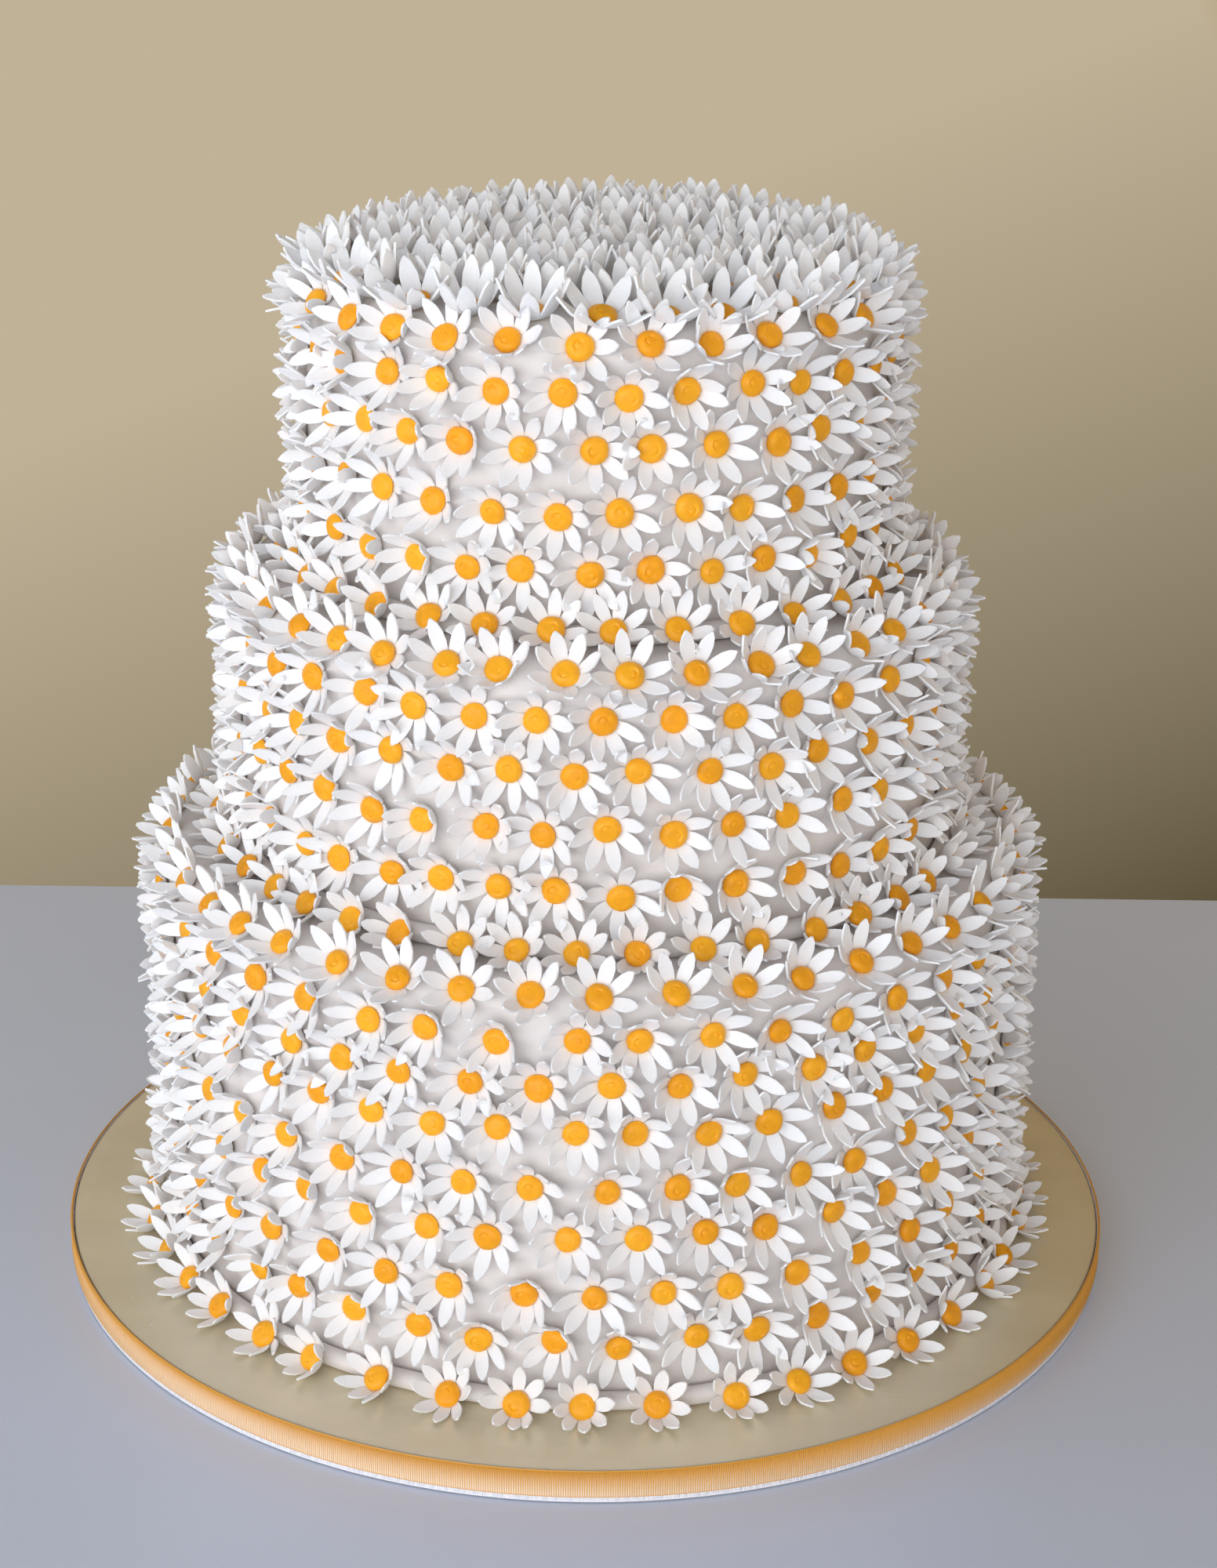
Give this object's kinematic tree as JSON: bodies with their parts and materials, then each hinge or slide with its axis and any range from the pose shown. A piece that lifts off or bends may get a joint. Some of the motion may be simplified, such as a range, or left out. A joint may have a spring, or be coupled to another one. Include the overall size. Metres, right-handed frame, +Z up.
{
  "type": "tiered wedding cake",
  "caption": "Round tiered wedding cake coated all over in white sugar daisies with yellow centres, standing on a round ribbon-edged board.",
  "frame": {"origin": "centre of the board's underside, on the surface that the cake stands on", "axes": "+Z up along the cake's axis; the side seen in the picture faces -Y"},
  "size_m": [0.408, 0.408, 0.3964],
  "materials": {
    "board": "board wrapped in satin beige-gold foil paper",
    "ribbon_white": "white ribbed grosgrain ribbon",
    "ribbon_gold": "old-gold ribbed grosgrain ribbon with a soft sheen",
    "icing": "matte white sugar paste, with golden yellow flower centres"
  },
  "bodies": {
    "root": {"cake_board": "board", "white_ribbon": "ribbon_white", "gold_ribbon": "ribbon_gold", "bottom_tier": "icing", "bottom_border": "icing", "middle_tier": "icing", "middle_border": "icing", "top_tier": "icing", "top_border": "icing"}
  },
  "joints": []
}
